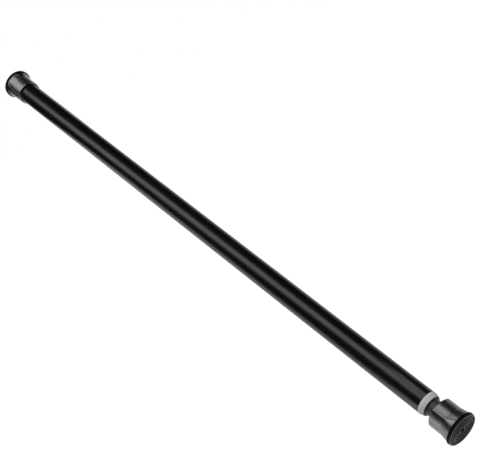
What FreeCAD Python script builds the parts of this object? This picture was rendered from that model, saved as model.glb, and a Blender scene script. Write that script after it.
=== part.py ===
"""Spring tension rod: two telescoping tubes with padded feet, a twist lock and a compression spring inside.

The rod lies along +X, closed to its shortest length. The origin is the middle of the fixed foot's wall face,
and the sliding foot's wall face is at x = CLOSED_LENGTH. +Z is up. All lengths are in millimetres.
Outlines are lists of (x, radius) points that are turned about the rod's axis.
"""

import FreeCAD, Part
import math
import os

Vector = FreeCAD.Vector
AXIS = Vector(1, 0, 0)
ORIGIN = Vector(0, 0, 0)

# Tubes
CLOSED_LENGTH = 385.0
OUTER_TUBE_OD = 12.7
OUTER_TUBE_WALL = 0.6
INNER_TUBE_OD = 9.2
INNER_TUBE_WALL = 0.5

# Feet
FOOT_LENGTH = 15.1
FOOT_FLOOR = 5.0
FOOT_WALL = 1.62
SIDE_COUNT = 4
SIDE_R = 10.6
SIDE_SINK = 0.57
FLARE_LENGTH = 5.3
FLARE_HEIGHT = 0.78
SIDE_FLARE = 1.15
FOOT_EDGE = 0.5
VENT_R = 1.2
OUTER_FOOT_TURN = 35.0
INNER_FOOT_TURN = -3.0

# Rubber pads
PAD_RIM_PROUD = 0.5
PAD_FACE_THICKNESS = 0.95
PAD_LIP_THICKNESS = 0.5
PAD_LIP_CATCH = 0.5
PAD_BACK_BEAD_WIDTH = 0.85
PAD_BACK_BEAD_HEIGHT = 0.55
PAD_FRONT_BEAD_HEIGHT = 0.35
PAD_WALL = 0.3
PAD_FACE_INSET = 0.45
PAD_HOLE_R = 1.5
FLANGE_THICKNESS = 0.7
RIDGE_COUNT = 4
RIDGE_LAND = 0.5
RIDGE_DEPTH = 0.4

# Bush in the outer tube's mouth, and the inner tube's stop bead
BUSH_COLLAR_LENGTH = 2.1
BUSH_SPIGOT_LENGTH = 12.0
BUSH_NOSE = 0.5
STOP_GAP = 0.1
BEAD_WIDTH = 1.7
BEAD_HEIGHT = 0.9
NECK_LENGTH = 3.8

# Spindle and lock
CORE_CLEARANCE = 12.0
SPINDLE_TIP = 1.0
THREAD_R = 2.0
END_NUT_FLATS = 6.5
END_NUT_THICKNESS = 2.4
CONE_LENGTH = 11.0
CONE_RIM = 1.5
CONE_HALF_ANGLE = 10.0
CONE_PROUD = 4.5
CONE_INSET = 0.6
RIB_INSET = 0.4
RIB_WIDTH = 1.1
LOCK_TRAVEL = 1.5
LOCK_SPARE = 0.3
SLEEVE_RELIEF = 4.0
SLEEVE_BASE = 5.0
SLOT_COUNT = 4
SLOT_CLEARANCE = 0.15
GRIP_RING_WIDTH = 1.9
GRIP_RING_DEPTH = 0.6
GRIP_RING_SETBACK = 1.4
WASHER_R = 4.3
WASHER_THICKNESS = 0.8
COLLAR_HEIGHT = 1.6
COLLAR_THICKNESS = 1.5
HEX_FLATS = 4.4
SPRING_TRAVEL = 20.0
TRAVEL_SPARE = 0.5

# Drive plug and guide ring
PLUG_LIP = 1.2
PLUG_LIP_INSET = 0.2
PLUG_LIP_CATCH = 0.5
PLUG_FLANGE = 1.5
PLUG_SPIGOT = 13.5
GUIDE_LENGTH = 7.4
GUIDE_SLIT = 1.0

# Spring, its seat and its stop
SEAT_THICKNESS = 1.5
PIN_SHOULDER = 0.7
PIN_END = 1.6
CLIP_GROOVE_DEPTH = 0.4
CLIP_REACH = 0.8
CLIP_THICKNESS = 0.6
CLIP_MOUTH = 2.0
WIRE_D = 0.8
SPRING_CLEARANCE = 0.35
SPRING_LENGTH = 60.0
SPRING_TURNS = 8
WIRE_SIDES = 4
STOP_LENGTH = 8.0
PILOT_LENGTH = 3.0
PILOT_CLEARANCE = 0.5
CRIMP_WIDTH = 1.6
CRIMP_DEPTH = 0.35

# Fits, each on the radius or on one side
PRESS_FIT = 0.02
RUNNING_FIT = 0.07
SIDE_GAP = 0.2
THRUST_GAP = 0.1

# Flats that stand for each curve
EDGE_FLATS = 2
BEAD_FLATS = 4

# Radii, outwards from each tube
OUTER_R = OUTER_TUBE_OD / 2
OUTER_BORE_R = OUTER_R - OUTER_TUBE_WALL
INNER_R = INNER_TUBE_OD / 2
INNER_BORE_R = INNER_R - INNER_TUBE_WALL
FOOT_R = OUTER_R + FOOT_WALL
FOOT_RIM_R = FOOT_R + FLARE_HEIGHT
PAD_RIM_R = FOOT_RIM_R + PAD_RIM_PROUD
PAD_GROOVE_R = PAD_RIM_R - PAD_BACK_BEAD_HEIGHT
FLANGE_R = PAD_GROOVE_R - PAD_WALL
FLANGE_NECK_R = FLANGE_R - PAD_LIP_CATCH
GUIDE_R = OUTER_BORE_R - RUNNING_FIT
SLEEVE_R = OUTER_BORE_R - 2 * RUNNING_FIT
GRIP_GROOVE_R = GUIDE_R - GRIP_RING_DEPTH
CONE_BIG_R = SLEEVE_R - CONE_INSET
THREAD_BORE_R = THREAD_R + RUNNING_FIT
PLUG_LIP_R = INNER_R - PLUG_LIP_INSET
PLUG_NECK_R = PLUG_LIP_R - PLUG_LIP_CATCH
PIN_R = HEX_FLATS / 2 - PIN_SHOULDER
CLIP_GROOVE_R = PIN_R - CLIP_GROOVE_DEPTH
SPRING_MEAN_R = INNER_BORE_R - SPRING_CLEARANCE - WIRE_D / 2

# Depths in a pad and foot, counted from the wall face
FLANGE_BACK = PAD_FACE_THICKNESS + FLANGE_THICKNESS
PAD_DEPTH = FLANGE_BACK + PAD_LIP_THICKNESS

# Stations along the closed rod, from the fixed wall to the sliding one
SPINDLE_X = FOOT_FLOOR + CORE_CLEARANCE
END_NUT_X = SPINDLE_X + SPINDLE_TIP
CONE_X = END_NUT_X + END_NUT_THICKNESS + SIDE_GAP
CONE_END_X = CONE_X + CONE_LENGTH
SLEEVE_X = CONE_X + CONE_PROUD
GRIP_RING_X = SLEEVE_X + GRIP_RING_SETBACK
LOCK_REACH = LOCK_TRAVEL + LOCK_SPARE
TAPER_END_X = CONE_END_X + LOCK_REACH
SLEEVE_BASE_X = TAPER_END_X + SLEEVE_RELIEF
SLEEVE_END_X = SLEEVE_BASE_X + SLEEVE_BASE
WASHER_X = SLEEVE_END_X + THRUST_GAP
COLLAR_X = WASHER_X + WASHER_THICKNESS
SHANK_X = COLLAR_X + COLLAR_THICKNESS
PLUG_X = SHANK_X + SPRING_TRAVEL + TRAVEL_SPARE
GUIDE_X = PLUG_X + PLUG_LIP + SIDE_GAP
PLUG_FLANGE_X = GUIDE_X + GUIDE_LENGTH + SIDE_GAP
INNER_TUBE_X = PLUG_FLANGE_X + PLUG_FLANGE
PLUG_END_X = INNER_TUBE_X + PLUG_SPIGOT
SEAT_X = PLUG_END_X + THRUST_GAP
SPRING_X = SEAT_X + SEAT_THICKNESS
STOP_X = SPRING_X + SPRING_LENGTH
CRIMP_X = STOP_X + (STOP_LENGTH - CRIMP_WIDTH) / 2
INNER_FOOT_X = CLOSED_LENGTH - FOOT_LENGTH
BEAD_X = INNER_FOOT_X - NECK_LENGTH - BEAD_WIDTH
BUSH_FRONT_X = BEAD_X - STOP_GAP
TUBE_MOUTH_X = BUSH_FRONT_X - BUSH_COLLAR_LENGTH
INNER_TUBE_END_X = CLOSED_LENGTH - FOOT_FLOOR


def turned(*outline):
    """A solid turned about the rod's axis from the points of a closed outline."""
    points = [Vector(x, radius, 0) for x, radius in outline]
    return Part.Face(Part.makePolygon(points + points[:1])).revolve(ORIGIN, AXIS, 360)


def swell(start, end, height):
    """Points from start to end that rise off the straight line between them by half a sine wave."""
    points = []
    for k in range(BEAD_FLATS + 1):
        t = k / BEAD_FLATS
        x = start[0] + (end[0] - start[0]) * t
        radius = start[1] + (end[1] - start[1]) * t + height * math.sin(math.pi * t)
        points.append((x, radius))
    return points


def rounded_corner(x, radius, size):
    """Points of a quarter round on an outer corner, from its side to its +X end."""
    angles = [math.pi / 2 * k / EDGE_FLATS for k in range(EDGE_FLATS + 1)]
    return [(x - size + size * math.sin(a), radius - size + size * math.cos(a)) for a in angles]


def rod(x, length, radius):
    """A round bar on the rod's axis."""
    return Part.makeCylinder(radius, length, Vector(x, 0, 0), AXIS)


def ring(x, length, outer, inner):
    """A plain ring on the rod's axis."""
    return rod(x, length, outer).cut(rod(x, length, inner))


def hexagon_bar(x, length, flats):
    """A six-sided bar on the rod's axis, flats being the distance across two flats."""
    corner = flats / 2 / math.cos(math.pi / 6)
    angles = [math.pi / 3 * k for k in range(7)]
    points = [Vector(x, corner * math.cos(a), corner * math.sin(a)) for a in angles]
    return Part.Face(Part.makePolygon(points)).extrude(AXIS * length)


def upper_bar(x, length, width, height):
    """A bar along the rod from its axis up to a height on the +Z side."""
    return Part.makeBox(length, width, height, Vector(x, -width / 2, 0))


def around(shape, count):
    """Copies of a shape spaced evenly about the rod's axis."""
    copies = []
    for k in range(count):
        copy = shape.copy()
        copy.rotate(ORIGIN, AXIS, 360 / count * k)
        copies.append(copy)
    return copies


def at_sliding_end(shape):
    """The same piece at the other end of the rod, facing the other wall."""
    return shape.mirror(Vector(CLOSED_LENGTH / 2, 0, 0), AXIS)


def flared_barrel(radius, rim_radius):
    """A barrel that opens to the rim along a cone, with a rounded back edge."""
    cone = [(PAD_DEPTH, rim_radius), (PAD_DEPTH + FLARE_LENGTH, radius)]
    back = rounded_corner(FOOT_LENGTH, radius, FOOT_EDGE)
    return turned((PAD_DEPTH, 0), *cone, *back, (FOOT_LENGTH, 0))


def foot(tube_r, turn):
    """End moulding: a flared barrel with gently rounded sides, a flange for the pad and a socket for the tube.

    Each side is a wider flared barrel set across the axis, and the foot is what all of them have in common. The
    strips left between two sides widen to triangles towards the rim, because the sides flare more than the barrel.
    """
    side = flared_barrel(SIDE_R, SIDE_R + SIDE_FLARE)
    side.translate(Vector(0, 0, FOOT_R - SIDE_SINK - SIDE_R))
    body = flared_barrel(FOOT_R, FOOT_RIM_R)
    for copy in around(side, SIDE_COUNT):
        body = body.common(copy)
    body.rotate(ORIGIN, AXIS, turn)
    flange = rod(PAD_FACE_THICKNESS, FLANGE_THICKNESS, FLANGE_R)
    neck = rod(PAD_FACE_THICKNESS, PAD_DEPTH - PAD_FACE_THICKNESS, FLANGE_NECK_R)
    socket = rod(FOOT_FLOOR, FOOT_LENGTH - FOOT_FLOOR, tube_r + PRESS_FIT)
    vent = rod(PAD_FACE_THICKNESS, FOOT_FLOOR - PAD_FACE_THICKNESS, VENT_R)
    return body.multiFuse([flange, neck]).removeSplitter().cut(socket).cut(vent)


def pad():
    """Rubber cup over the foot's flange: sharp ring ridges between two lands on its face, beads round its rim."""
    face_r = PAD_RIM_R - PAD_FACE_INSET
    first_r = PAD_HOLE_R + RIDGE_LAND
    pitch = (face_r - RIDGE_LAND - first_r) / (RIDGE_COUNT + 1)
    face = [(0, PAD_HOLE_R), (0, first_r)]
    for k in range(RIDGE_COUNT + 1):
        face += [(RIDGE_DEPTH, first_r + (k + 0.5) * pitch), (0, first_r + (k + 1) * pitch)]
    face.append((0, face_r))
    groove = (PAD_DEPTH - PAD_BACK_BEAD_WIDTH, PAD_GROOVE_R)
    back = (PAD_DEPTH, PAD_GROOVE_R)
    front_bead = swell(face[-1], groove, PAD_FRONT_BEAD_HEIGHT)
    back_bead = swell(groove, back, PAD_BACK_BEAD_HEIGHT)
    inside = [
        (PAD_DEPTH, FLANGE_NECK_R + PRESS_FIT),
        (FLANGE_BACK, FLANGE_NECK_R + PRESS_FIT),
        (FLANGE_BACK, FLANGE_R + PRESS_FIT),
        (PAD_FACE_THICKNESS, FLANGE_R + PRESS_FIT),
        (PAD_FACE_THICKNESS, PAD_HOLE_R),
    ]
    return turned(*face, *front_bead[1:], *back_bead[1:], *inside)


def outer_tube():
    return ring(FOOT_FLOOR, TUBE_MOUTH_X - FOOT_FLOOR, OUTER_R, OUTER_BORE_R)


def mouth_bush():
    """Nylon bush: a collar flush with the tube, its nose rounded, and a spigot inside the tube."""
    bore_r = INNER_R + RUNNING_FIT
    spigot_r = OUTER_BORE_R - PRESS_FIT
    spigot_x = TUBE_MOUTH_X - BUSH_SPIGOT_LENGTH
    nose = rounded_corner(BUSH_FRONT_X, OUTER_R, BUSH_NOSE)
    return turned(
        (spigot_x, bore_r),
        (spigot_x, spigot_r),
        (TUBE_MOUTH_X, spigot_r),
        (TUBE_MOUTH_X, OUTER_R),
        *nose,
        (BUSH_FRONT_X, bore_r),
    )


def rolled(x, width, radius, height):
    """Points of a bend rolled into a tube's wall, outwards, or inwards where the height is negative."""
    return swell((x, radius), (x + width, radius), height)


def inner_tube():
    """Thin tube with a bead rolled outwards as a stop and a groove rolled inwards to hold the spring stop."""
    return turned(
        (INNER_TUBE_X, INNER_R),
        *rolled(CRIMP_X, CRIMP_WIDTH, INNER_R, -CRIMP_DEPTH),
        *rolled(BEAD_X, BEAD_WIDTH, INNER_R, BEAD_HEIGHT),
        (INNER_TUBE_END_X, INNER_R),
        (INNER_TUBE_END_X, INNER_BORE_R),
        *reversed(rolled(BEAD_X, BEAD_WIDTH, INNER_BORE_R, BEAD_HEIGHT)),
        *reversed(rolled(CRIMP_X, CRIMP_WIDTH, INNER_BORE_R, -CRIMP_DEPTH)),
        (INNER_TUBE_X, INNER_BORE_R),
    )


def cone_radius(depth):
    """Radius of the cone at a distance behind its big end."""
    return CONE_BIG_R - max(depth - CONE_RIM, 0) * math.tan(math.radians(CONE_HALF_ANGLE))


def cone_nut():
    """Cone with a threaded bore, and ribs that slide in the sleeve's slots and stop it turning there."""
    cone = turned(
        (CONE_X, 0),
        (CONE_X, CONE_BIG_R),
        (CONE_X + CONE_RIM, CONE_BIG_R),
        (CONE_END_X, cone_radius(CONE_LENGTH)),
        (CONE_END_X, 0),
    )
    rib = upper_bar(CONE_X, CONE_LENGTH, RIB_WIDTH, GRIP_GROOVE_R - RIB_INSET)
    return cone.multiFuse(around(rib, SLOT_COUNT)).cut(rod(CONE_X, CONE_LENGTH, THREAD_BORE_R))


def expander_sleeve():
    """Slotted sleeve with a taper that the cone reaches at the end of its travel."""
    sleeve = turned(
        (SLEEVE_X, cone_radius(CONE_PROUD - LOCK_REACH)),
        (TAPER_END_X, cone_radius(CONE_LENGTH)),
        (SLEEVE_BASE_X, cone_radius(CONE_LENGTH)),
        (SLEEVE_BASE_X, THREAD_BORE_R),
        (SLEEVE_END_X, THREAD_BORE_R),
        (SLEEVE_END_X, SLEEVE_R),
        (SLEEVE_X, SLEEVE_R),
    )
    slot = upper_bar(SLEEVE_X, SLEEVE_BASE_X - SLEEVE_X, RIB_WIDTH + 2 * SLOT_CLEARANCE, OUTER_R)
    groove = ring(GRIP_RING_X, GRIP_RING_WIDTH + SIDE_GAP, OUTER_R, GRIP_GROOVE_R)
    return sleeve.cut(around(slot, SLOT_COUNT)).cut(groove)


def grip_ring():
    """Rubber ring in the sleeve's groove."""
    return ring(GRIP_RING_X + SIDE_GAP / 2, GRIP_RING_WIDTH, GUIDE_R, GRIP_GROOVE_R + PRESS_FIT)


def spindle():
    """Threaded rod with a collar, a six-sided shank that slides in the plug, and a grooved pin for the seat."""
    groove_end_x = SPRING_X + CLIP_THICKNESS
    pin_end_x = groove_end_x + PIN_END
    body = turned(
        (SPINDLE_X, 0),
        (SPINDLE_X, THREAD_R),
        (COLLAR_X, THREAD_R),
        (COLLAR_X, THREAD_R + COLLAR_HEIGHT),
        (SHANK_X, THREAD_R + COLLAR_HEIGHT),
        (SHANK_X, PIN_R),
        (SPRING_X, PIN_R),
        (SPRING_X, CLIP_GROOVE_R),
        (groove_end_x, CLIP_GROOVE_R),
        (groove_end_x, PIN_R),
        (pin_end_x, PIN_R),
        (pin_end_x, 0),
    )
    return body.fuse(hexagon_bar(SHANK_X, SEAT_X - SHANK_X, HEX_FLATS))


def end_nut():
    """Six-sided nut locked on the spindle's tip."""
    bore = rod(END_NUT_X, END_NUT_THICKNESS, THREAD_R + PRESS_FIT)
    return hexagon_bar(END_NUT_X, END_NUT_THICKNESS, END_NUT_FLATS).cut(bore)


def thrust_washer():
    return ring(WASHER_X, WASHER_THICKNESS, WASHER_R, THREAD_R + PRESS_FIT)


def drive_plug():
    """Nylon plug: a spigot in the inner tube, a flange, and a lipped neck that carries the guide ring."""
    spigot_r = INNER_BORE_R - PRESS_FIT
    body = turned(
        (PLUG_X, 0),
        (PLUG_X, PLUG_LIP_R),
        (PLUG_X + PLUG_LIP, PLUG_LIP_R),
        (PLUG_X + PLUG_LIP, PLUG_NECK_R),
        (PLUG_FLANGE_X, PLUG_NECK_R),
        (PLUG_FLANGE_X, INNER_R),
        (INNER_TUBE_X, INNER_R),
        (INNER_TUBE_X, spigot_r),
        (PLUG_END_X, spigot_r),
        (PLUG_END_X, 0),
    )
    return body.cut(hexagon_bar(PLUG_X, PLUG_END_X - PLUG_X, HEX_FLATS + 2 * RUNNING_FIT))


def guide_ring():
    """Split ring that opens over the plug's lip."""
    whole = ring(GUIDE_X, GUIDE_LENGTH, GUIDE_R, PLUG_NECK_R + RUNNING_FIT)
    return whole.cut(upper_bar(GUIDE_X, GUIDE_LENGTH, GUIDE_SLIT, OUTER_R))


def spring_seat():
    return ring(SEAT_X, SEAT_THICKNESS, INNER_BORE_R - SIDE_GAP, PIN_R + PRESS_FIT)


def seat_clip():
    """Open clip in the spindle's groove, pushed on from the side."""
    clip_r = PIN_R + CLIP_REACH
    whole = ring(SPRING_X, CLIP_THICKNESS, clip_r, CLIP_GROOVE_R + PRESS_FIT)
    return whole.cut(upper_bar(SPRING_X, CLIP_THICKNESS, CLIP_MOUTH, clip_r))


def tension_spring():
    """Helix of wire between the seat and the stop, its section a polygon of WIRE_SIDES sides."""
    wire_r = WIRE_D / 2
    rise = SPRING_LENGTH - WIRE_D
    angles = [2 * math.pi * k / WIRE_SIDES for k in range(WIRE_SIDES + 1)]
    section = Part.makePolygon(
        [Vector(SPRING_MEAN_R + wire_r * math.cos(a), 0, wire_r * math.sin(a)) for a in angles]
    )
    helix = Part.makeHelix(rise / SPRING_TURNS, rise, SPRING_MEAN_R)
    spring = Part.Wire(helix).makePipeShell([section], True, True)
    spring.rotate(ORIGIN, Vector(0, 1, 0), 90)
    spring.translate(Vector(SPRING_X + wire_r, 0, 0))
    return spring


def spring_stop():
    """Plug with a groove that the tube is crimped into, and a pilot inside the spring's end."""
    stop_r = INNER_BORE_R - PRESS_FIT
    groove_r = stop_r - CRIMP_DEPTH
    pilot_r = SPRING_MEAN_R - WIRE_D / 2 - PILOT_CLEARANCE
    pilot_x = STOP_X - PILOT_LENGTH
    return turned(
        (pilot_x, 0),
        (pilot_x, pilot_r),
        (STOP_X, pilot_r),
        (STOP_X, stop_r),
        (CRIMP_X, stop_r),
        (CRIMP_X, groove_r),
        (CRIMP_X + CRIMP_WIDTH, groove_r),
        (CRIMP_X + CRIMP_WIDTH, stop_r),
        (STOP_X + STOP_LENGTH, stop_r),
        (STOP_X + STOP_LENGTH, 0),
    )


def build():
    """Every piece by name, each in its place on the closed rod."""
    return {
        "outer_tube": outer_tube(),
        "mouth_bush": mouth_bush(),
        "outer_foot": foot(OUTER_R, OUTER_FOOT_TURN),
        "outer_pad": pad(),
        "inner_tube": inner_tube(),
        "inner_foot": at_sliding_end(foot(INNER_R, INNER_FOOT_TURN)),
        "inner_pad": at_sliding_end(pad()),
        "drive_plug": drive_plug(),
        "guide_ring": guide_ring(),
        "spindle": spindle(),
        "spring_seat": spring_seat(),
        "seat_clip": seat_clip(),
        "tension_spring": tension_spring(),
        "spring_stop": spring_stop(),
        "expander_sleeve": expander_sleeve(),
        "grip_ring": grip_ring(),
        "cone_nut": cone_nut(),
        "thrust_washer": thrust_washer(),
        "end_nut": end_nut(),
    }


os.makedirs("parts", exist_ok=True)
for name, shape in build().items():
    shape.exportStep(f"parts/{name}.step")
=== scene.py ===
"""Looks of a spring tension rod: smooth skins for its pieces, their finishes, a studio and a camera.

The rod lies along +X and is closed to its shortest length. All lengths are in metres. An angle round the
rod is counted from +Y towards +Z. A depth is counted from a foot's own wall face, along the rod.
"""

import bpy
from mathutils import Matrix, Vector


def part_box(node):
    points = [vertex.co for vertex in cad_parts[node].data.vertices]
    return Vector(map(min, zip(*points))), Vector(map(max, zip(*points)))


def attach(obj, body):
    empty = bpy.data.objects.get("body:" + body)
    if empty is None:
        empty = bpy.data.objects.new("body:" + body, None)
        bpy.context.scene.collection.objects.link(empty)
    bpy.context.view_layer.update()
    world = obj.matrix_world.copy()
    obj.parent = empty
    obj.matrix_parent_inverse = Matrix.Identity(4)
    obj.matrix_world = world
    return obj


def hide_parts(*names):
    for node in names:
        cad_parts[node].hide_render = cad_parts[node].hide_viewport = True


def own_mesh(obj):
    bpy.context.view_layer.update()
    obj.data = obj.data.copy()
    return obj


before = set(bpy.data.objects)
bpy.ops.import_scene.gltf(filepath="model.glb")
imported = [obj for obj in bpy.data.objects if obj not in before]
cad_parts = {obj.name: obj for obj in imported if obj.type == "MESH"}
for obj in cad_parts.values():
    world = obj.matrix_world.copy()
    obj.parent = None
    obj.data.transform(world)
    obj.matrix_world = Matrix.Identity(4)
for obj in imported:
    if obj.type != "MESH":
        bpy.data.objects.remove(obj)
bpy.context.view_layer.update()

import math

import bpy
import numpy as np
from bpy.props import FloatProperty, FloatVectorProperty, IntProperty, PointerProperty
from bpy.types import Operator, Panel, PropertyGroup
from mathutils import Matrix, Vector

bl_info = {
    "name": "Spring tension rod",
    "version": (1, 0, 0),
    "blender": (4, 5, 0),
    "location": "View3D > Sidebar > Tension rod",
    "description": "Builds the skins, finishes and studio of a telescoping spring tension rod",
    "category": "Object",
}

IMAGE_WIDTH = 487
SENSOR_WIDTH = 36.0
CLIP_RANGE = (0.01, 100)
SHARP_ANGLE = math.radians(35)

# Values between which noise mostly lies
NOISE_LOW = 0.3
NOISE_HIGH = 0.7

# Lamps: name, middle, the point it faces, direction of its length, length and width, radiance
LAMPS = (
    ("key_lamp", (-0.399, -0.405, 0.448), (-0.399, -0.054, -0.039), (1, 0.276, 0.199), (1.40, 0.42), 2.7),
    ("top_lamp", (0.340, 0.006, 0.068), (0.3775, 0, 0), (1, 0, 0), (0.038, 0.03), 2.4),
    ("low_lamp", (0.3325, -0.097, -0.052), (0.3775, 0, 0), (1, 0, 0), (0.035, 0.06), 1.9),
    ("front_lamp", (0.80, -0.42, 0.62), (0.2, 0, 0), (1, 0, 0), (0.3, 0.3), 0.6),
)

# Points round each piece, and along each kind of curve
TUBE_COLUMNS = 128
PAD_COLUMNS = 160
SIDE_COLUMNS = 48
STRIP_COLUMNS = 16
WIRE_COLUMNS = 16
SPINDLE_COLUMNS = 48
FLARE_ROWS = 30
EDGE_ROWS = 6
SWELL_ROWS = 16
ROWS_PER_RIDGE = 16
ROWS_PER_THREAD = 12
ROWS_PER_TURN = 64


def start_of(node):
    """Where a node begins along the rod."""
    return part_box(node)[0].x


def end_of(node):
    """Where a node ends along the rod."""
    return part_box(node)[1].x


def reach_of(node):
    """How far a round node reaches from the rod's axis."""
    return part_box(node)[1].z


def length(name, default, description):
    """A property that holds a length."""
    return FloatProperty(
        name=name, description=description, default=default, min=0, precision=5, unit="LENGTH"
    )


def angle(name, degrees, description):
    """A property that holds an angle."""
    return FloatProperty(name=name, description=description, default=math.radians(degrees), subtype="ANGLE")


def share(name, default, description):
    """A property that holds a number from 0 to 1."""
    return FloatProperty(name=name, description=description, default=default, min=0, max=1, subtype="FACTOR")


def colour(name, default, description):
    """A property that holds a colour in linear light."""
    return FloatVectorProperty(
        name=name, description=description, default=default, min=0, max=1, size=3, subtype="COLOR"
    )


def place(name, default, description):
    """A property that holds a point in the rod's frame."""
    return FloatVectorProperty(
        name=name, description=description, default=default, size=3, subtype="TRANSLATION"
    )


class TubeSizes(PropertyGroup):
    """The two tubes and the bush between them."""

    outer_radius: length("Outer tube radius", reach_of("outer_tube"), "Outside radius of the painted tube")
    outer_wall: length("Outer tube wall", 0.0006, "Thickness of the painted tube")
    inner_radius: length("Inner tube radius", 0.0046, "Outside radius of the sliding tube")
    inner_wall: length("Inner tube wall", 0.0005, "Thickness of the sliding tube")
    edge: length("Tube edge", 0.00015, "Rounding of a cut tube end")
    neck: length("Neck", 0.0038, "Bare tube between the stop bead and the sliding foot")
    bead_width: length("Bead width", 0.0017, "Width of the stop bead rolled in the sliding tube")
    bead_height: length("Bead height", 0.0009, "Height of the stop bead")
    crimp_width: length("Crimp width", 0.0016, "Width of the groove rolled over the spring stop")
    crimp_depth: length("Crimp depth", 0.00035, "Depth of that groove")
    stop_length: length("Spring stop length", 0.008, "Length of the spring stop's plain part")
    collar: length("Bush collar", 0.0008, "Straight part of the bush's collar")
    lip: length("Bush lip", 0.0011, "How far the bush's lip reaches over the stop bead")
    lip_radius: length("Lip radius", 0.00572, "Outside radius of the lip's edge")
    lip_bore: length("Lip bore", 0.00554, "Inside radius of the lip")
    bush_edge: length("Bush edge", 0.0001, "Rounding of the bush's other edges")
    bush_bore: length("Bush bore", 0.00467, "Radius of the hole that the sliding tube passes through")


class FootSizes(PropertyGroup):
    """The four-sided and flared end mouldings."""

    depth: length("Depth", end_of("outer_foot"), "From the wall face to the foot's back edge")
    floor: length("Socket floor", start_of("outer_tube"), "Depth of the socket's floor")
    front: length("Flange front", start_of("outer_foot"), "Depth of the flange under the pad")
    flange_back: length("Flange back", 0.00165, "Depth of the flange's back")
    flange_radius: length("Flange radius", 0.0084, "Radius of the flange that holds the pad")
    neck_radius: length("Flange neck radius", 0.0079, "Radius behind the flange")
    vent_radius: length("Vent radius", 0.0012, "Hole through the socket's floor")
    sides: IntProperty(name="Sides", description="Gently rounded sides round the foot", default=4, min=2)
    side_radius: length("Side radius", 0.0106, "Radius that a side is rounded to")
    side_sink: length("Side sink", 0.00057, "How far a side's middle lies below the strips between the sides")
    side_flare: length("Side flare", 0.00115, "How much a side's radius grows at the rim")
    barrel_radius: length("Barrel radius", 0.00797, "Radius of the strips between the sides")
    barrel_rim: length("Barrel rim", 0.00875, "Radius of those strips at the rim")
    flare_length: length("Flare length", 0.0053, "Length of the flare behind the pad")
    edge: length("Back edge", 0.0005, "Rounding of the back edge")
    ridge: length("Ridge", 0.00002, "Rounding of the ridges beside a side")
    groove: length("Groove", 0.00015, "Depth of the fine grooves along the ridges")
    groove_width: length("Groove width", 0.00022, "Half width of those grooves")
    fixed_turn: angle("Fixed foot turn", 125, "Angle of the fixed foot's first side")
    sliding_turn: angle("Sliding foot turn", 87, "Angle of the sliding foot's first side")


class PadSizes(PropertyGroup):
    """The ringed rubber pads."""

    depth: length("Depth", end_of("outer_pad"), "From the wall face to the pad's back")
    rim_radius: length("Rim radius", reach_of("outer_pad"), "Largest radius, at the back bead")
    face_inset: length("Face inset", 0.00045, "How far the face's edge lies inside the rim")
    hole_radius: length("Hole radius", 0.0015, "Hole in the middle of the face")
    land: length("Land", 0.0005, "Flat ring at each edge of the ridges")
    ridges: IntProperty(name="Ridges", description="Ring ridges between the lands", default=4, min=0)
    ridge_depth: length("Ridge depth", 0.0004, "Depth of the grooves between the ridges")
    front_bead: length("Front bead", 0.00035, "Height of the bead round the face")
    back_bead: length("Back bead", 0.00055, "Height of the bead behind it")
    back_bead_width: length("Back bead width", 0.00085, "Width of the back bead")


class LockSizes(PropertyGroup):
    """The spring and the spindle inside the tubes."""

    wire_radius: length("Wire radius", 0.0004, "Radius of the spring's wire")
    turns: FloatProperty(name="Turns", description="Turns of the spring", default=8, min=1)
    travel: length("Spring travel", 0.02, "How far the spring is pressed")
    thread_radius: length("Thread radius", 0.002, "Crest radius of the spindle's thread")
    thread_depth: length("Thread depth", 0.0003, "Depth of the thread")
    thread_lead: length("Thread lead", 0.001, "Travel of the cone nut in one turn")
    collar_radius: length("Collar radius", 0.0036, "Radius of the spindle's collar")
    collar_width: length("Collar width", 0.0015, "Width of the spindle's collar")
    shank_flats: length("Shank flats", 0.0044, "Distance across two flats of the six-sided shank")
    pin_radius: length("Pin radius", 0.0015, "Radius of the pin that carries the spring seat")
    groove_radius: length("Groove radius", 0.0011, "Radius at the bottom of the clip's groove")
    edge: length("Edge", 0.0001, "Rounding of the spindle's edges")


class Finishes(PropertyGroup):
    """Colours and roughness of the finishes."""

    paint: colour("Tube paint", (0.0035, 0.0035, 0.0038), "Black paint of the outer tube")
    paint_roughness: share("Paint roughness", 0.3, "Roughness of the tube's paint")
    coating: colour("Inner coating", (0.042, 0.042, 0.043), "Dark coating of the sliding tube")
    plastic: colour("Foot plastic", (0.008, 0.008, 0.0084), "Black moulded plastic")
    plastic_roughness: share("Plastic roughness", 0.3, "Roughness of the feet")
    rubber: colour("Rubber", (0.009, 0.009, 0.0094), "Black rubber of the pads")
    # Painted highlight: a pale colour on the crests of the pads' ridges, and how deep it reaches down from a
    # crest
    dust: colour("Dust", (0.36, 0.36, 0.36), "Dust on the crests of the pads")
    crest_depth: length("Crest depth", 0.00014, "How deep the dust reaches down from a crest")
    nylon: colour("Nylon", (0.40, 0.40, 0.405), "Pale nylon")
    zinc: colour("Zinc", (0.62, 0.62, 0.63), "Zinc plated steel")
    wire: colour("Spring wire", (0.34, 0.34, 0.35), "Drawn spring wire")
    brass: colour("Brass", (0.72, 0.52, 0.24), "Turned brass")


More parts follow.
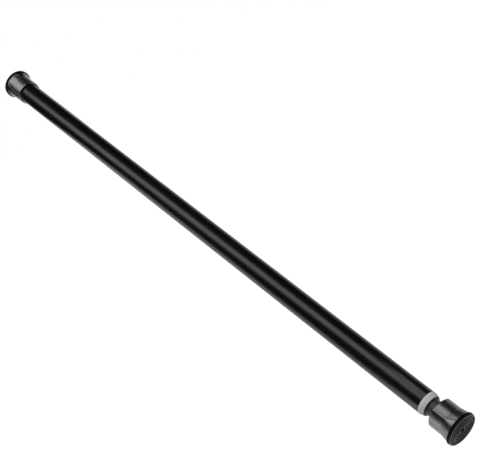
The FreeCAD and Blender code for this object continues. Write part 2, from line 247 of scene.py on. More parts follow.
class StageSettings(PropertyGroup):
    """Floor, world light and camera."""

    floor_colour: colour("Floor", (0.9, 0.9, 0.9), "Pale floor")
    floor_white: share("Floor white", 0.70, "Light that the floor under the rod adds for the eye and mirrors")
    floor_lit: length("Lit floor", 0.35, "How far from the rod's middle the lamps light the floor")
    floor_dim: length("Dim floor", 1.3, "Where the lamps fade out and the floor adds full white")
    floor_drop: length("Floor drop", 0.11, "How far the floor lies under the rod's axis")
    floor_front: length("Floor front", 0.18, "How far the floor reaches in front of the rod")
    floor_left: length("Floor left", 0.07, "How far the floor reaches past the fixed foot")
    floor_reach: length("Floor reach", 6.0, "How far the floor reaches the other ways")
    fill: share("Fill", 0.15, "Light from all round on matt surfaces")
    room_dark: share("Dark room", 0.01, "Brightness of the room that mirrors show")
    wall_start: share("Wall start", 0.52, "Y - Z of a mirrored direction where the white wall starts")
    wall_full: share("Wall full", 0.74, "Y - Z of a mirrored direction where the wall is full white")
    camera_place: place("Camera", (0.5952959, -0.317196, 0.4399324), "Where the camera stands")
    camera_turn: angle("Camera azimuth", 49.24351, "Compass angle that the camera looks from")
    camera_tilt: angle("Camera elevation", 40.49941, "Height angle that the camera looks from")
    focal_pixels: FloatProperty(
        name="Focal length",
        description="Focal length in pixels of the picture's width",
        default=1200.591,
        min=1,
    )


class RodSettings(PropertyGroup):
    """Every size and finish of the rod, and its stage."""

    tubes: PointerProperty(type=TubeSizes)
    foot: PointerProperty(type=FootSizes)
    pad: PointerProperty(type=PadSizes)
    lock: PointerProperty(type=LockSizes)
    finish: PointerProperty(type=Finishes)
    stage: PointerProperty(type=StageSettings)


def smooth_step(t):
    """3t^2 - 2t^3, which leaves 0 and reaches 1 with no slope."""
    return t * t * (3 - 2 * t)


def smooth_min(a, b, rounding):
    """The smaller of two arrays, with the corner where they cross rounded by a hyperbola."""
    return (a + b) / 2 - np.sqrt(((a - b) / 2) ** 2 + rounding**2)


def rounded(corners):
    """A closed outline of (x, radius) points from corners (x, radius, rounding).

    Each corner is the arc of a circle that touches both of its sides: it starts rounding / tan(half the
    corner's angle) before the corner, and its points are the centre plus the rounding turned evenly from side
    to side.
    """
    points = np.array([corner[:2] for corner in corners], float)
    parts = []
    for k, (_, _, rounding) in enumerate(corners):
        here = points[k]
        before = points[k - 1] - here
        after = points[(k + 1) % len(points)] - here
        before /= np.linalg.norm(before)
        after /= np.linalg.norm(after)
        if not rounding:
            parts.append(here[None])
            continue
        half = math.acos(np.clip(before @ after, -1, 1)) / 2
        middle = (before + after) / np.linalg.norm(before + after)
        centre = here + middle * rounding / math.sin(half)
        turns = np.linspace(half - math.pi / 2, math.pi / 2 - half, EDGE_ROWS)[:, None]
        side = np.array([-middle[1], middle[0]])
        side *= np.sign(side @ after)
        parts.append(centre + rounding * (side * np.sin(turns) - middle * np.cos(turns)))
    return np.concatenate(parts)


def swell(start, end, height):
    """Points from start to end that rise off their straight line by height times half a sine wave."""
    t = np.linspace(0, 1, SWELL_ROWS)[:, None]
    line = np.array(start) + (np.array(end) - np.array(start)) * t
    return line + np.array([0, height]) * np.sin(math.pi * t)


def turned_grid(outline, columns):
    """The outline's (x, radius) points carried round the rod's axis: (x, radius cos a, radius sin a)."""
    angles = np.linspace(0, 2 * math.pi, columns, endpoint=False)[None]
    return ring_points(outline[:, :1], outline[:, 1:], angles)


def ring_points(x, radius, angles):
    """Points at an x, a radius and an angle round the rod, each an array of rows by columns."""
    x, y, z = np.broadcast_arrays(x, radius * np.cos(angles), radius * np.sin(angles))
    return np.stack([x, y, z], axis=-1)


def skin(name, grid, material, body, replaces, loop=True):
    """A closed mesh on a grid of points whose columns close round the piece.

    The last row joins the first where loop is true, and otherwise each end row is closed by a fan about its
    mean. The sum of the corners' triple products is six times the signed volume, and its sign turns the faces
    outwards.
    """
    rows, columns = grid.shape[:2]
    points = grid.reshape(-1, 3)
    index = np.arange(rows * columns).reshape(rows, columns)
    beside = np.roll(index, -1, axis=1)
    quads = np.stack([index, beside, np.roll(beside, -1, axis=0), np.roll(index, -1, axis=0)], axis=-1)
    fans = np.empty((0, 3), int)
    if not loop:
        quads = quads[:-1]
        points = np.concatenate([points, grid[:1].mean(axis=1), grid[-1:].mean(axis=1)])
        first = np.stack([beside[0], index[0], np.full(columns, rows * columns)], axis=-1)
        last = np.stack([index[-1], beside[-1], np.full(columns, rows * columns + 1)], axis=-1)
        fans = np.concatenate([first, last])
    quads = quads.reshape(-1, 4)
    triangles = np.concatenate([quads[:, [0, 1, 2]], quads[:, [0, 2, 3]], fans])
    a, b, c = points[triangles[:, 0]], points[triangles[:, 1]], points[triangles[:, 2]]
    if np.einsum("ij,ij->", a, np.cross(b, c)) < 0:
        quads = quads[:, ::-1]
        fans = fans[:, ::-1]
    mesh = bpy.data.meshes.new(name)
    mesh.from_pydata(points.tolist(), [], quads.tolist() + fans.tolist())
    mesh.polygons.foreach_set("use_smooth", np.ones(len(mesh.polygons), bool))
    mesh.set_sharp_from_angle(angle=SHARP_ANGLE)
    mesh.materials.append(material)
    piece = bpy.data.objects.new(name, mesh)
    bpy.context.scene.collection.objects.link(piece)
    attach(piece, body)
    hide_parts(replaces)
    return piece


def set_inputs(node, inputs):
    """Sets a node's inputs by name, with an underscore for each space."""
    for name, value in inputs.items():
        node.inputs[name.replace("_", " ")].default_value = value


def add_node(tree, kind, **inputs):
    """A shader node of a kind, with values for the inputs that are named."""
    made = tree.nodes.new("ShaderNode" + kind)
    set_inputs(made, inputs)
    return made


def worked_out(tree, operation, first, second=None):
    """The socket that holds an operation on one or two values, each a socket or a number."""
    made = add_node(tree, "Math")
    made.operation = operation
    for socket, value in zip(made.inputs, (first, second)):
        if isinstance(value, bpy.types.NodeSocket):
            tree.links.new(value, socket)
        elif value is not None:
            socket.default_value = value
    return made.outputs["Value"]


def new_finish(name, roughness, **inputs):
    """A material with one shader, and the piece's own coordinates: (material, tree, shader, coordinates)."""
    material = bpy.data.materials.new(name)
    material.use_nodes = True
    tree = material.node_tree
    shader = tree.nodes["Principled BSDF"]
    shader.inputs["Roughness"].default_value = roughness
    set_inputs(shader, inputs)
    return material, tree, shader, add_node(tree, "TexCoord").outputs["Object"]


def speckle(tree, coordinates, grain, stretch=(1, 1, 1), detail=3.0):
    """Noise with grains of about that size, drawn out along an axis where stretch is above 1."""
    mapping = add_node(tree, "Mapping")
    mapping.inputs["Scale"].default_value = [1 / s for s in stretch]
    tree.links.new(coordinates, mapping.inputs["Vector"])
    noise = add_node(tree, "TexNoise", Scale=1 / grain, Detail=detail, Roughness=0.55)
    tree.links.new(mapping.outputs["Vector"], noise.inputs["Vector"])
    return noise.outputs["Fac"]


def vary_colour(tree, shader, pattern, base, spread):
    """The base colour, darker and lighter by a share of itself along a pattern. Returns its socket."""
    ramp = add_node(tree, "ValToRGB")
    stops = ((NOISE_LOW, 1 - spread), (NOISE_HIGH, 1 + spread))
    for stop, (position, factor) in zip(ramp.color_ramp.elements, stops):
        stop.position = position
        stop.color = [min(c * factor, 1) for c in base] + [1]
    tree.links.new(pattern, ramp.inputs["Fac"])
    tree.links.new(ramp.outputs["Color"], shader.inputs["Base Color"])
    return ramp.outputs["Color"]


def vary_roughness(tree, shader, pattern, spread):
    """The shader's roughness, lower and higher by spread along a pattern."""
    middle = shader.inputs["Roughness"].default_value
    span = add_node(
        tree,
        "MapRange",
        From_Min=NOISE_LOW,
        From_Max=NOISE_HIGH,
        To_Min=middle - spread,
        To_Max=middle + spread,
    )
    tree.links.new(pattern, span.inputs["Value"])
    tree.links.new(span.outputs["Result"], shader.inputs["Roughness"])


def emboss(tree, shader, pattern, height):
    """Bumps of a height along a pattern."""
    bump = add_node(tree, "Bump", Strength=1.0, Distance=height)
    tree.links.new(pattern, bump.inputs["Height"])
    tree.links.new(bump.outputs["Normal"], shader.inputs["Normal"])


def gloss_paint(finish):
    """Black paint, smooth with a faint ripple, over a tube drawn lengthwise."""
    material, tree, shader, xyz = new_finish("gloss_paint", finish.paint_roughness, Specular_IOR_Level=0.37)
    streaks = speckle(tree, xyz, grain=0.004, stretch=(12, 1, 1))
    haze = speckle(tree, xyz, grain=0.0016, stretch=(8, 1, 1))
    ripple = speckle(tree, xyz, grain=0.0009, detail=1.0)
    vary_colour(tree, shader, streaks, finish.paint, spread=0.3)
    vary_roughness(tree, shader, haze, spread=0.03)
    emboss(tree, shader, ripple, height=0.000004)
    return material


def satin_coating(finish):
    """Dark satin coating on the sliding tube, with fine rings left by the rolling."""
    material, tree, shader, xyz = new_finish("satin_coating", roughness=0.5, Specular_IOR_Level=0.35)
    blotches = speckle(tree, xyz, grain=0.0015)
    haze = speckle(tree, xyz, grain=0.0004, stretch=(1, 8, 8))
    rings = speckle(tree, xyz, grain=0.0003, stretch=(1, 20, 20))
    vary_colour(tree, shader, blotches, finish.coating, spread=0.25)
    vary_roughness(tree, shader, haze, spread=0.06)
    emboss(tree, shader, rings, height=0.00001)
    return material


def moulded_plastic(finish):
    """Black plastic with the fine grain of a worn mould."""
    material, tree, shader, xyz = new_finish(
        "moulded_plastic", finish.plastic_roughness, IOR=1.7, Specular_IOR_Level=0.9
    )
    vary_colour(tree, shader, speckle(tree, xyz, grain=0.003), finish.plastic, spread=0.2)
    vary_roughness(tree, shader, speckle(tree, xyz, grain=0.0012), spread=0.03)
    emboss(tree, shader, speckle(tree, xyz, grain=0.00035), height=0.000002)
    return material


def black_rubber(finish):
    """Rubber with a fine grain, and a painted highlight: a pale colour on the crests that lie within
    crest_depth of either wall.
    """
    material, tree, shader, xyz = new_finish("black_rubber", roughness=0.5, Specular_IOR_Level=0.1)
    plain_rubber = vary_colour(tree, shader, speckle(tree, xyz, grain=0.0018), finish.rubber, spread=0.45)
    half = end_of("inner_pad") / 2
    along = add_node(tree, "SeparateXYZ")
    tree.links.new(xyz, along.inputs["Vector"])
    from_middle = worked_out(tree, "ABSOLUTE", worked_out(tree, "SUBTRACT", along.outputs["X"], half))
    # Painted highlight: the crests within crest_depth of either wall are mixed towards a pale colour
    crest = add_node(tree, "MapRange", From_Min=half - finish.crest_depth, From_Max=half)
    tree.links.new(from_middle, crest.inputs["Value"])
    highlighted_crests = add_node(tree, "MixRGB", Color2=(*finish.dust, 1))
    tree.links.new(crest.outputs["Result"], highlighted_crests.inputs["Fac"])
    tree.links.new(plain_rubber, highlighted_crests.inputs["Color1"])
    tree.links.new(highlighted_crests.outputs["Color"], shader.inputs["Base Color"])
    vary_roughness(tree, shader, speckle(tree, xyz, grain=0.0008), spread=0.08)
    emboss(tree, shader, speckle(tree, xyz, grain=0.00022), height=0.000012)
    return material


def pale_nylon(finish):
    """Pale nylon that lets a little light in, with faint turning rings."""
    material, tree, shader, xyz = new_finish(
        "pale_nylon",
        roughness=0.5,
        Specular_IOR_Level=0.15,
        Subsurface_Weight=0.2,
        Subsurface_Radius=(0.0006, 0.0006, 0.0006),
        Subsurface_Scale=1.0,
    )
    rings = speckle(tree, xyz, grain=0.00025, stretch=(1, 15, 15))
    vary_colour(tree, shader, speckle(tree, xyz, grain=0.0022), finish.nylon, spread=0.05)
    vary_roughness(tree, shader, speckle(tree, xyz, grain=0.0007), spread=0.06)
    emboss(tree, shader, rings, height=0.00001)
    return material


def plated_steel(name, base, grain):
    """Plated steel with a fine frost, and blotches four times as large."""
    material, tree, shader, xyz = new_finish(name, roughness=0.32, Metallic=1.0)
    vary_colour(tree, shader, speckle(tree, xyz, grain * 4), base, spread=0.12)
    vary_roughness(tree, shader, speckle(tree, xyz, grain), spread=0.08)
    emboss(tree, shader, speckle(tree, xyz, grain), height=0.000006)
    return material


def zinc_plate(finish):
    """Bright zinc plate."""
    return plated_steel("zinc_plate", finish.zinc, grain=0.0004)


def spring_wire(finish):
    """Darker drawn wire."""
    return plated_steel("spring_wire", finish.wire, grain=0.0002)


def turned_brass(finish):
    """Brass with the fine rings of a lathe tool."""
    material, tree, shader, xyz = new_finish("turned_brass", roughness=0.3, Metallic=1.0)
    rings = speckle(tree, xyz, grain=0.0002, stretch=(1, 30, 30))
    vary_colour(tree, shader, speckle(tree, xyz, grain=0.002), finish.brass, spread=0.1)
    vary_roughness(tree, shader, rings, spread=0.1)
    emboss(tree, shader, rings, height=0.00001)
    return material


def finish_of(make):
    """The material that bears a finish function's name, made by it once."""
    return bpy.data.materials.get(make.__name__) or make(bpy.context.scene.tension_rod.finish)


class TENSIONROD_OT_outer_tube(Operator):
    """Black painted tube with rounded cut ends"""

    bl_idname = "tension_rod.outer_tube"
    bl_label = "Outer tube"

    def execute(self, context):
        tubes = context.scene.tension_rod.tubes
        start, end = start_of("outer_tube"), end_of("outer_tube")
        bore = tubes.outer_radius - tubes.outer_wall
        outline = rounded(
            [
                (start, bore, tubes.edge),
                (start, tubes.outer_radius, tubes.edge),
                (end, tubes.outer_radius, tubes.edge),
                (end, bore, tubes.edge),
            ]
        )
        grid = turned_grid(outline, TUBE_COLUMNS)
        skin("painted_tube", grid, finish_of(gloss_paint), "outer", "outer_tube")
        return {"FINISHED"}


class TENSIONROD_OT_mouth_bush(Operator):
    """Pale bush whose collar is flush with the outer tube and narrows to a lip round the stop bead"""

    bl_idname = "tension_rod.mouth_bush"
    bl_label = "Mouth bush"

    def execute(self, context):
        tubes = context.scene.tension_rod.tubes
        start, end = start_of("mouth_bush"), end_of("mouth_bush")
        shoulder = end_of("outer_tube")
        spigot = tubes.outer_radius - tubes.outer_wall
        outline = rounded(
            [
                (start, tubes.bush_bore, tubes.bush_edge),
                (start, spigot, tubes.bush_edge),
                (shoulder, spigot, 0),
                (shoulder, tubes.outer_radius, tubes.bush_edge),
                (shoulder + tubes.collar, tubes.outer_radius, tubes.bush_edge),
                (end + tubes.lip, tubes.lip_radius, tubes.bush_edge / 2),
                (end + tubes.lip, tubes.lip_bore, 0),
                (end, tubes.lip_bore, 0),
                (end, tubes.bush_bore, tubes.bush_edge),
            ]
        )
        grid = turned_grid(outline, TUBE_COLUMNS)
        skin("nylon_bush", grid, finish_of(pale_nylon), "outer", "mouth_bush")
        return {"FINISHED"}


class TENSIONROD_OT_inner_tube(Operator):
    """Sliding tube with a stop bead rolled outwards and a crimp rolled inwards"""

    bl_idname = "tension_rod.inner_tube"
    bl_label = "Inner tube"

    def execute(self, context):
        tubes = context.scene.tension_rod.tubes
        start, end = start_of("inner_tube"), end_of("inner_tube")
        bead = start_of("inner_foot") - tubes.neck - tubes.bead_width
        crimp = end_of("spring_stop") - (tubes.stop_length + tubes.crimp_width) / 2

        def wall(radius):
            """One side of the wall, from end to end."""
            return np.concatenate(
                [
                    [(start, radius)],
                    swell((crimp, radius), (crimp + tubes.crimp_width, radius), -tubes.crimp_depth),
                    swell((bead, radius), (bead + tubes.bead_width, radius), tubes.bead_height),
                    [(end, radius)],
                ]
            )

        outside = wall(tubes.inner_radius)
        inside = wall(tubes.inner_radius - tubes.inner_wall)
        grid = turned_grid(np.concatenate([outside, inside[::-1]]), TUBE_COLUMNS)
        skin("sliding_tube", grid, finish_of(satin_coating), "inner", "inner_tube")
        return {"FINISHED"}


def ridge_angle(barrel, side, offset):
    """Angle from a side's middle to its ridge, where its circle meets the barrel's, by the cosine rule."""
    return np.arccos((side**2 - barrel**2 - offset**2) / (2 * barrel * offset))


def foot_grid(foot, bore, pad_depth, first_side):
    """Points of a foot as (depth, y, z), in rows along a closed outline and columns round the rod.

    Each side is a circle of radius r whose centre lies beyond the axis by an offset c, and the barrel is a
    circle of radius b about the axis. Along the flare b and r grow to the rim in a straight line. The skin's
    radius is the smaller of b and sqrt(r^2 - c^2 sin^2 p) - c cos p at angle p from the side's middle, less a
    groove along each ridge that falls off as exp(-u^2). Columns gather at the ridges by a sine, so that each
    is a line of the grid.
    """
    flare = np.linspace(0, 1, FLARE_ROWS)
    corner = np.linspace(0, math.pi / 2, EDGE_ROWS)
    flange, neck = foot.flange_radius, foot.neck_radius
    front_rows = np.array([foot.front, foot.front, foot.flange_back, foot.flange_back, pad_depth])
    front_radii = np.array([foot.vent_radius, flange, flange, neck, neck])
    back_rows = np.array([foot.depth, foot.floor, foot.floor])
    back_radii = np.array([bore, bore, foot.vent_radius])

    flare_rows = pad_depth + foot.flare_length * flare
    edge_rows = foot.depth - foot.edge * (1 - np.sin(corner))
    inset = np.concatenate([np.zeros(FLARE_ROWS), foot.edge * (1 - np.cos(corner))])[:, None]
    rise = 1 - np.concatenate([flare, np.ones(EDGE_ROWS)])[:, None]
    barrel = foot.barrel_radius + (foot.barrel_rim - foot.barrel_radius) * rise
    side = foot.side_radius + foot.side_flare * rise
    offset = foot.side_radius - foot.barrel_radius + foot.side_sink

    half = math.pi / foot.sides
    ridge = ridge_angle(barrel, side, offset)
    along_side = np.sin(math.pi / 2 * np.linspace(-1, 1, SIDE_COLUMNS, endpoint=False))[None]
    along_strip = np.sin(math.pi / 2 * np.linspace(-1, 1, STRIP_COLUMNS, endpoint=False))[None]
    sector = np.concatenate([ridge * along_side, half + (half - ridge) * along_strip], axis=1)
    from_middle = np.minimum(sector, 2 * half - sector)
    side_skin = np.sqrt(side**2 - (offset * np.sin(from_middle)) ** 2) - offset * np.cos(from_middle)
    from_ridge = barrel * (from_middle - ridge) / foot.groove_width
    radius = smooth_min(side_skin, barrel, foot.ridge) - foot.groove * np.exp(-(from_ridge**2)) - inset

    plain = np.ones((1, sector.shape[1]))
    depth = np.concatenate([front_rows, flare_rows, edge_rows, back_rows])
    radius = np.concatenate([front_radii[:, None] * plain, radius, back_radii[:, None] * plain])
    front_sector = np.repeat(sector[:1], len(front_rows), axis=0)
    back_sector = np.repeat(sector[-1:], len(back_rows), axis=0)
    sector = np.concatenate([front_sector, sector, back_sector])
    turns = np.arange(foot.sides) * 2 * half + first_side
    angles = (sector[:, None, :] + turns[None, :, None]).reshape(len(depth), -1)
    return ring_points(depth[:, None], np.tile(radius, (1, foot.sides)), angles)


def at_sliding_end(grid):
    """The same grid at the rod's other end, facing the other wall."""
    moved = grid.copy()
    moved[..., 0] = end_of("inner_pad") - grid[..., 0]
    return moved


class TENSIONROD_OT_feet(Operator):
    """Four-sided and flared mouldings on both ends"""

    bl_idname = "tension_rod.feet"
    bl_label = "Feet"

    def execute(self, context):
        rod = context.scene.tension_rod
        material = finish_of(moulded_plastic)
        fixed = foot_grid(rod.foot, rod.tubes.outer_radius, rod.pad.depth, rod.foot.fixed_turn)
        sliding = foot_grid(rod.foot, rod.tubes.inner_radius, rod.pad.depth, rod.foot.sliding_turn)
        skin("fixed_foot", fixed, material, "outer", "outer_foot")
        skin("sliding_foot", at_sliding_end(sliding), material, "inner", "inner_foot")
        return {"FINISHED"}


def pad_outline(pad, foot):
    """Closed outline of a pad as (depth, radius) points.

    Between two flat lands the face waves as ridge_depth (1 - cos) / 2, a groove in each wave, with the crests
    in the wall's plane. Two half sine beads make the rim, and the inside fits the foot's flange.
    """
    face_radius = pad.rim_radius - pad.face_inset
    groove_radius = pad.rim_radius - pad.back_bead
    waves = pad.ridges + 1
    t = np.linspace(0, 1, waves * ROWS_PER_RIDGE + 1)
    first, last = pad.hole_radius + pad.land, face_radius - pad.land
    wave = pad.ridge_depth * (1 - np.cos(2 * math.pi * waves * t)) / 2
    face = np.stack([wave, first + (last - first) * t], axis=-1)
    groove = (pad.depth - pad.back_bead_width, groove_radius)
    return np.concatenate(
        [
            [(foot.front, pad.hole_radius), (0, pad.hole_radius)],
            face,
            swell((0, face_radius), groove, pad.front_bead),
            swell(groove, (pad.depth, groove_radius), pad.back_bead)[1:],
            [
                (pad.depth, foot.neck_radius),
                (foot.flange_back, foot.neck_radius),
                (foot.flange_back, foot.flange_radius),
                (foot.front, foot.flange_radius),
            ],
        ]
    )


class TENSIONROD_OT_pads(Operator):
    """Ringed rubber pads on both feet"""

    bl_idname = "tension_rod.pads"
    bl_label = "Pads"

    def execute(self, context):
        rod = context.scene.tension_rod
        material = finish_of(black_rubber)
        grid = turned_grid(pad_outline(rod.pad, rod.foot), PAD_COLUMNS)
        skin("fixed_pad", grid, material, "outer", "outer_pad")
        skin("sliding_pad", at_sliding_end(grid), material, "inner", "inner_pad")
        return {"FINISHED"}


class TENSIONROD_OT_spring(Operator):
    """Compression spring, the part that shortens as the rod is pressed between two walls, built at one fixed
    length
    """

    bl_idname = "tension_rod.spring"
    bl_label = "Spring"

    def execute(self, context):
        """The wire's circle is carried along a helix, in the plane of its radius and its binormal."""
        lock = context.scene.tension_rod.lock
        start, end = start_of("tension_spring"), end_of("tension_spring")
        mean_radius = reach_of("tension_spring") - lock.wire_radius
        turn = np.linspace(0, 2 * math.pi * lock.turns, round(lock.turns * ROWS_PER_TURN) + 1)[:, None]
        rise = (end - start - 2 * lock.wire_radius) / (2 * math.pi * lock.turns)
        zero = np.zeros_like(turn)
        outwards = np.concatenate([zero, np.cos(turn), np.sin(turn)], axis=1)
        sideways = np.concatenate([zero, -np.sin(turn), np.cos(turn)], axis=1)
        onwards = np.concatenate([zero + rise, zero, zero], axis=1) + mean_radius * sideways
        across = np.cross(onwards, outwards)
        across /= np.linalg.norm(across, axis=1, keepdims=True)
        along = np.concatenate([start + lock.wire_radius + rise * turn, zero, zero], axis=1)
        middle = along + mean_radius * outwards
        round_wire = np.linspace(0, 2 * math.pi, WIRE_COLUMNS, endpoint=False)[None, :, None]
        section = np.cos(round_wire) * outwards[:, None] + np.sin(round_wire) * across[:, None]
        grid = middle[:, None] + lock.wire_radius * section
        material = finish_of(spring_wire)
        spring = skin("coil_spring", grid, material, "inner", "tension_spring", loop=False)
        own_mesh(spring)
        return {"FINISHED"}


class TENSIONROD_OT_spindle(Operator):
    """Spindle with its thread, collar, six-sided shank and grooved pin"""

    bl_idname = "tension_rod.spindle"
    bl_label = "Spindle"

    def execute(self, context):
        """The thread's radius is a cosine of x / lead - angle / turn, faded at both ends by a smooth step."""
        lock = context.scene.tension_rod.lock
        start, end = start_of("spindle"), end_of("spindle")
        collar = end_of("thrust_washer")
        shank = collar + lock.collar_width
        seat, groove = start_of("spring_seat"), end_of("spring_seat")
        groove_end = end_of("seat_clip")
        angles = np.linspace(0, 2 * math.pi, SPINDLE_COLUMNS, endpoint=False)[None]
        plain = np.ones_like(angles)

        x = np.linspace(start, collar, round((collar - start) / lock.thread_lead * ROWS_PER_THREAD))[:, None]
        fade = smooth_step(np.clip(np.minimum(x - start, collar - x) / lock.thread_lead, 0, 1))
        wave = 0.5 - 0.5 * np.cos(2 * math.pi * x / lock.thread_lead - angles)
        thread = lock.thread_radius - lock.thread_depth * (1 - fade * wave)

        sixth = math.pi / 3
        hexagon = lock.shank_flats / 2 / np.cos(np.mod(angles, sixth) - sixth / 2)
        rest = [
            (collar, (lock.collar_radius - lock.edge) * plain),
            (collar + lock.edge, lock.collar_radius * plain),
            (shank - lock.edge, lock.collar_radius * plain),
            (shank, (lock.collar_radius - lock.edge) * plain),
            (shank, hexagon),
            (seat, hexagon),
            (seat, lock.pin_radius * plain),
            (groove, lock.pin_radius * plain),
            (groove, lock.groove_radius * plain),
            (groove_end, lock.groove_radius * plain),
            (groove_end, lock.pin_radius * plain),
            (end - lock.edge, lock.pin_radius * plain),
            (end, (lock.pin_radius - lock.edge) * plain),
        ]
        x = np.concatenate([x, np.array([row for row, _ in rest])[:, None]])
        radius = np.concatenate([thread] + [radii for _, radii in rest])
        grid = ring_points(x, radius, angles)
        skin("threaded_spindle", grid, finish_of(zinc_plate), "core", "spindle", loop=False)
        return {"FINISHED"}


class TENSIONROD_OT_inner_fittings(Operator):
    """Finishes of the plugs, rings, nuts and washers inside the tubes"""

    bl_idname = "tension_rod.inner_fittings"
    bl_label = "Inner fittings"

    def execute(self, context):
        finishes = {
            pale_nylon: ("drive_plug", "guide_ring", "spring_stop", "expander_sleeve"),
            zinc_plate: ("spring_seat", "seat_clip", "thrust_washer", "end_nut"),
            black_rubber: ("grip_ring",),
            turned_brass: ("cone_nut",),
        }
        for make, nodes in finishes.items():
            for node in nodes:
                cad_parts[node].material_slots[0].material = finish_of(make)
        return {"FINISHED"}


def mirror_rays(tree):
    """1 for a ray that the camera, a mirror or a clear piece sends, and 0 for the rest."""
    path = add_node(tree, "LightPath")
    mask = path.outputs["Is Camera Ray"]
    for ray in ("Is Glossy Ray", "Is Transmission Ray"):
        mask = worked_out(tree, "MAXIMUM", mask, path.outputs[ray])
    return mask


def floor_finish(stage):
    """Pale floor with a very faint mottle, lifted to white for the eye and for mirrors.

    The lift grows with the distance from the rod's middle, as the light of the lamps falls off.
    """
    material, tree, shader, xyz = new_finish("studio_floor", roughness=0.9, Specular_IOR_Level=0.1)
    vary_colour(tree, shader, speckle(tree, xyz, grain=0.3), stage.floor_colour, spread=0.01)
    away = add_node(tree, "VectorMath")
    away.operation = "DISTANCE"
    away.inputs[1].default_value = (end_of("inner_pad") / 2, 0, -stage.floor_drop)
    tree.links.new(xyz, away.inputs[0])
    white = add_node(
        tree,
        "MapRange",
        From_Min=stage.floor_lit,
        From_Max=stage.floor_dim,
        To_Min=stage.floor_white,
        To_Max=1.0,
    )
    tree.links.new(away.outputs["Value"], white.inputs["Value"])
    lift = worked_out(tree, "MULTIPLY", mirror_rays(tree), white.outputs["Result"])
    shader.inputs["Emission Color"].default_value = (1, 1, 1, 1)
    tree.links.new(lift, shader.inputs["Emission Strength"])
    return material


def light_studio(stage):
    """World light: white for the eye, a white wall in a dark room for mirrors, an even fill for the rest."""
    world = bpy.data.worlds.new("studio")
    world.use_nodes = True
    bpy.context.scene.world = world
    tree = world.node_tree
    fill = tree.nodes["Background"]
    fill.inputs["Color"].default_value = (1, 1, 1, 1)
    fill.inputs["Strength"].default_value = stage.fill
    seen = add_node(tree, "Background", Strength=1.0)
    side = add_node(tree, "SeparateXYZ")
    tree.links.new(add_node(tree, "TexCoord").outputs["Generated"], side.inputs["Vector"])
    wall = add_node(tree, "ValToRGB")
    stops = ((stage.wall_start, stage.room_dark), (stage.wall_full, 1.0))
    for stop, (position, grey) in zip(wall.color_ramp.elements, stops):
        stop.position = position
        stop.color = (grey, grey, grey, 1)
    tree.links.new(worked_out(tree, "SUBTRACT", side.outputs["Y"], side.outputs["Z"]), wall.inputs["Fac"])
    lit = add_node(tree, "MixRGB", Fac=1.0)
    lit.blend_type = "LIGHTEN"
    tree.links.new(wall.outputs["Color"], lit.inputs["Color1"])
    tree.links.new(add_node(tree, "LightPath").outputs["Is Camera Ray"], lit.inputs["Color2"])
    tree.links.new(lit.outputs["Color"], seen.inputs["Color"])
    mix = add_node(tree, "MixShader")
    tree.links.new(mirror_rays(tree), mix.inputs["Fac"])
    tree.links.new(fill.outputs["Background"], mix.inputs[1])
    tree.links.new(seen.outputs["Background"], mix.inputs[2])
    tree.links.new(mix.outputs["Shader"], tree.nodes["World Output"].inputs["Surface"])


def soft_lamp(name, middle, aim, along, size, radiance):
    """A rectangular lamp that faces a point, its length along a direction. Its power is pi area radiance."""
    lamp = bpy.data.lights.new(name, "AREA")
    lamp.shape = "RECTANGLE"
    lamp.size, lamp.size_y = size
    lamp.energy = math.pi * size[0] * size[1] * radiance
    away = (middle - aim).normalized()
    right = (along - away * along.dot(away)).normalized()
    turn = Matrix((right, away.cross(right), away)).transposed()
    shown = bpy.data.objects.new(name, lamp)
    shown.matrix_world = Matrix.Translation(middle) @ turn.to_4x4()
    shown.visible_camera = False
    bpy.context.scene.collection.objects.link(shown)


def set_camera(stage):
    """A level camera at the chosen place, azimuth and elevation."""
    data = bpy.data.cameras.new("camera")
    data.sensor_width = SENSOR_WIDTH
    data.lens = stage.focal_pixels * SENSOR_WIDTH / IMAGE_WIDTH
    data.clip_start, data.clip_end = CLIP_RANGE
    turn, tilt = stage.camera_turn, stage.camera_tilt
    back = Vector((math.sin(turn) * math.cos(tilt), -math.cos(turn) * math.cos(tilt), math.sin(tilt)))
    camera = bpy.data.objects.new("camera", data)
    camera.location = stage.camera_place
    camera.rotation_euler = (-back).to_track_quat("-Z", "Y").to_euler()
    bpy.context.scene.collection.objects.link(camera)
    bpy.context.scene.camera = camera


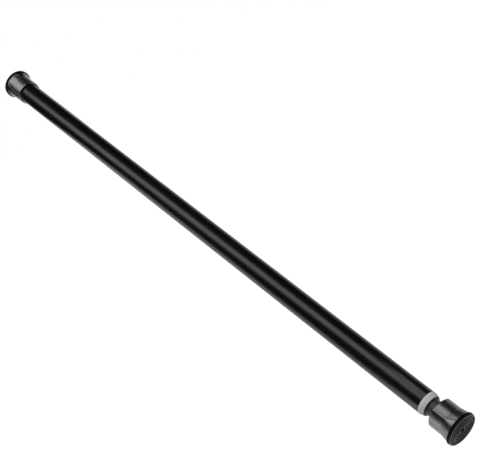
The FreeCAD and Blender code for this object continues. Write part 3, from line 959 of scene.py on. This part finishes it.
class TENSIONROD_OT_stage(Operator):
    """Pale floor, soft lamps and camera"""

    bl_idname = "tension_rod.stage"
    bl_label = "Stage"

    def execute(self, context):
        stage = context.scene.tension_rod.stage
        reach, drop = stage.floor_reach, -stage.floor_drop
        left, front = -stage.floor_left, -stage.floor_front
        mesh = bpy.data.meshes.new("floor")
        corners = [(left, front, drop), (reach, front, drop), (reach, reach, drop), (left, reach, drop)]
        mesh.from_pydata(corners, [], [(0, 1, 2, 3)])
        mesh.materials.append(floor_finish(stage))
        floor = bpy.data.objects.new("floor", mesh)
        context.scene.collection.objects.link(floor)
        light_studio(stage)
        for name, middle, aim, along, size, radiance in LAMPS:
            soft_lamp(name, Vector(middle), Vector(aim), Vector(along), size, radiance)
        set_camera(stage)
        context.scene.view_settings.view_transform = "Standard"
        return {"FINISHED"}


# Operators in the order that they run
STEPS = (
    "outer_tube",
    "mouth_bush",
    "inner_tube",
    "feet",
    "pads",
    "spring",
    "spindle",
    "inner_fittings",
    "stage",
)


class TENSIONROD_PT_panel(Panel):
    """Lists the operators in the sidebar"""

    bl_label = "Tension rod"
    bl_idname = "TENSIONROD_PT_panel"
    bl_space_type = "VIEW_3D"
    bl_region_type = "UI"
    bl_category = "Tension rod"

    def draw(self, context):
        for step in STEPS:
            self.layout.operator("tension_rod." + step)


CLASSES = (
    TubeSizes,
    FootSizes,
    PadSizes,
    LockSizes,
    Finishes,
    StageSettings,
    RodSettings,
    TENSIONROD_OT_outer_tube,
    TENSIONROD_OT_mouth_bush,
    TENSIONROD_OT_inner_tube,
    TENSIONROD_OT_feet,
    TENSIONROD_OT_pads,
    TENSIONROD_OT_spring,
    TENSIONROD_OT_spindle,
    TENSIONROD_OT_inner_fittings,
    TENSIONROD_OT_stage,
    TENSIONROD_PT_panel,
)


def register():
    """Registers the classes and the scene's settings."""
    for cls in CLASSES:
        bpy.utils.register_class(cls)
    bpy.types.Scene.tension_rod = PointerProperty(type=RodSettings)


def unregister():
    """Takes the settings and the classes away again."""
    del bpy.types.Scene.tension_rod
    for cls in reversed(CLASSES):
        bpy.utils.unregister_class(cls)


def main():
    """Builds everything."""
    register()
    for step in STEPS:
        getattr(bpy.ops.tension_rod, step)()


if __name__ == "__main__":
    main()
